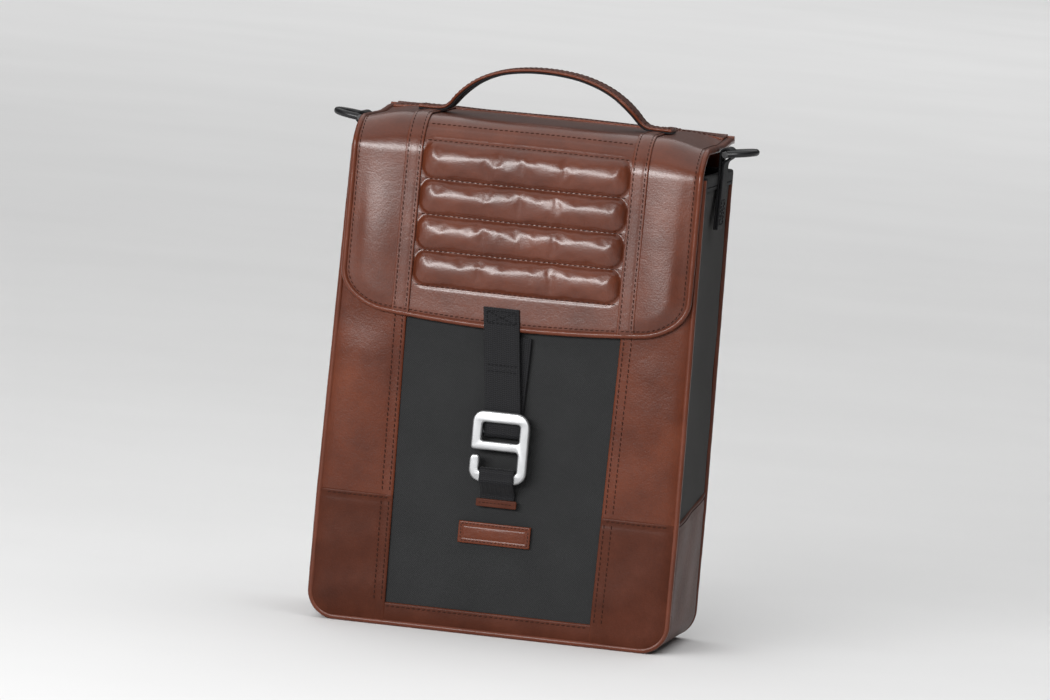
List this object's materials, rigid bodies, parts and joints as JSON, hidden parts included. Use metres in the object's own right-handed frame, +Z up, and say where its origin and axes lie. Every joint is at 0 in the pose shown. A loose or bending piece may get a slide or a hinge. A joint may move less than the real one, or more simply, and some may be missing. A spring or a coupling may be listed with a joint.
{
  "type": "soft motorcycle tail side bag",
  "caption": "Tall soft motorcycle bag for the side of the tail, in leather and canvas, with a ribbed leather flap closed by a hook buckle on webbing, and a top handle.",
  "frame": {"origin": "on the surface the bag stands on, under the middle of its whole box", "axes": "+Z up towards the handle, -Y out of the front face with the hook buckle, +Y towards the motorcycle out of the back plate, +X to the right of somebody facing the front"},
  "size_m": [0.296, 0.1359, 0.386],
  "materials": {
    "leather": "glossy smooth brown leather with folded, stitched edges",
    "piping": "red-brown leather cord piping and rolled edge",
    "boot_leather": "darker brown leather of the boot",
    "canvas": "black coated canvas, fine plain weave",
    "webbing": "black nylon webbing, ribbed weave",
    "lining": "dark grey lining cloth",
    "board": "black polyethylene stiffening board",
    "foam": "soft foam padding",
    "bare_alloy": "satin silver alloy",
    "steel": "plain steel",
    "black_metal": "black painted steel wire",
    "black_plastic": "black moulded plastic, fine texture"
  },
  "bodies": {
    "bag": {"front_canvas": "canvas", "left_front_strip": "leather", "right_front_strip": "leather", "left_front_boot": "boot_leather", "right_front_boot": "boot_leather", "front_lip": "boot_leather", "left_gusset": "canvas", "right_gusset": "canvas", "left_boot": "boot_leather", "right_boot": "boot_leather", "base_panel": "boot_leather", "back_panel": "canvas", "rear_boot": "boot_leather", "front_board": "board", "back_board": "board", "base_board": "board", "lining": "lining", "mouth_binding": "webbing", "front_piping": "piping", "rear_piping": "piping", "label_patch": "leather", "hook_loop": "webbing", "loop_anchor": "piping", "left_ring_tab": "webbing", "right_ring_tab": "webbing", "back_plate": "black_plastic", "plate_rivets": "steel", "rivet_washers": "steel", "mount_eyelets": "steel", "hinge_strip": "leather", "flap_welt": "piping"},
    "flap": {"flap_lining": "lining", "flap_center": "leather", "flap_left": "leather", "flap_right": "leather", "rib_pads": "foam", "left_band": "leather", "right_band": "leather", "flap_binding": "piping", "handle_tabs": "leather", "strap_end": "webbing"},
    "handle": {"handle_leather": "leather", "handle_core": "black_plastic", "handle_webbing": "webbing"},
    "strap": {"closure_strap": "webbing"},
    "hook": {"hook_webbing": "webbing", "hook_frame": "bare_alloy", "hook_pin": "steel"},
    "left_ring_body": {"left_ring": "black_metal"},
    "right_ring_body": {"right_ring": "black_metal"}
  },
  "joints": [
    {"name": "flap_hinge", "type": "hinge", "parent": "bag", "child": "flap", "pos_m": [0, 0.0658, 0.347], "axis": [-1, 0, 0], "range_deg": [0, 170]},
    {"name": "handle_swing", "type": "hinge", "parent": "flap", "child": "handle", "pos_m": [0, 0.0053, 0.357], "axis": [1, 0, 0], "range_deg": [-55, 55], "stiffness_Nm_per_rad": 0.05},
    {"name": "strap_swing", "type": "hinge", "parent": "flap", "child": "strap", "pos_m": [0, -0.0602, 0.2092], "axis": [-1, 0, 0], "range_deg": [0, 140], "deforming": ["hook_loop"]},
    {"name": "hook_swing", "type": "hinge", "parent": "strap", "child": "hook", "pos_m": [0, -0.0602, 0.159], "axis": [-1, 0, 0], "range_deg": [0, 45]},
    {"name": "left_ring_swing", "type": "hinge", "parent": "bag", "child": "left_ring_body", "pos_m": [-0.1272, 0.0053, 0.341], "axis": [0, 1, 0], "range_deg": [-85, 70]},
    {"name": "right_ring_swing", "type": "hinge", "parent": "bag", "child": "right_ring_body", "pos_m": [0.1272, 0.0053, 0.341], "axis": [0, -1, 0], "range_deg": [-85, 70]}
  ]
}
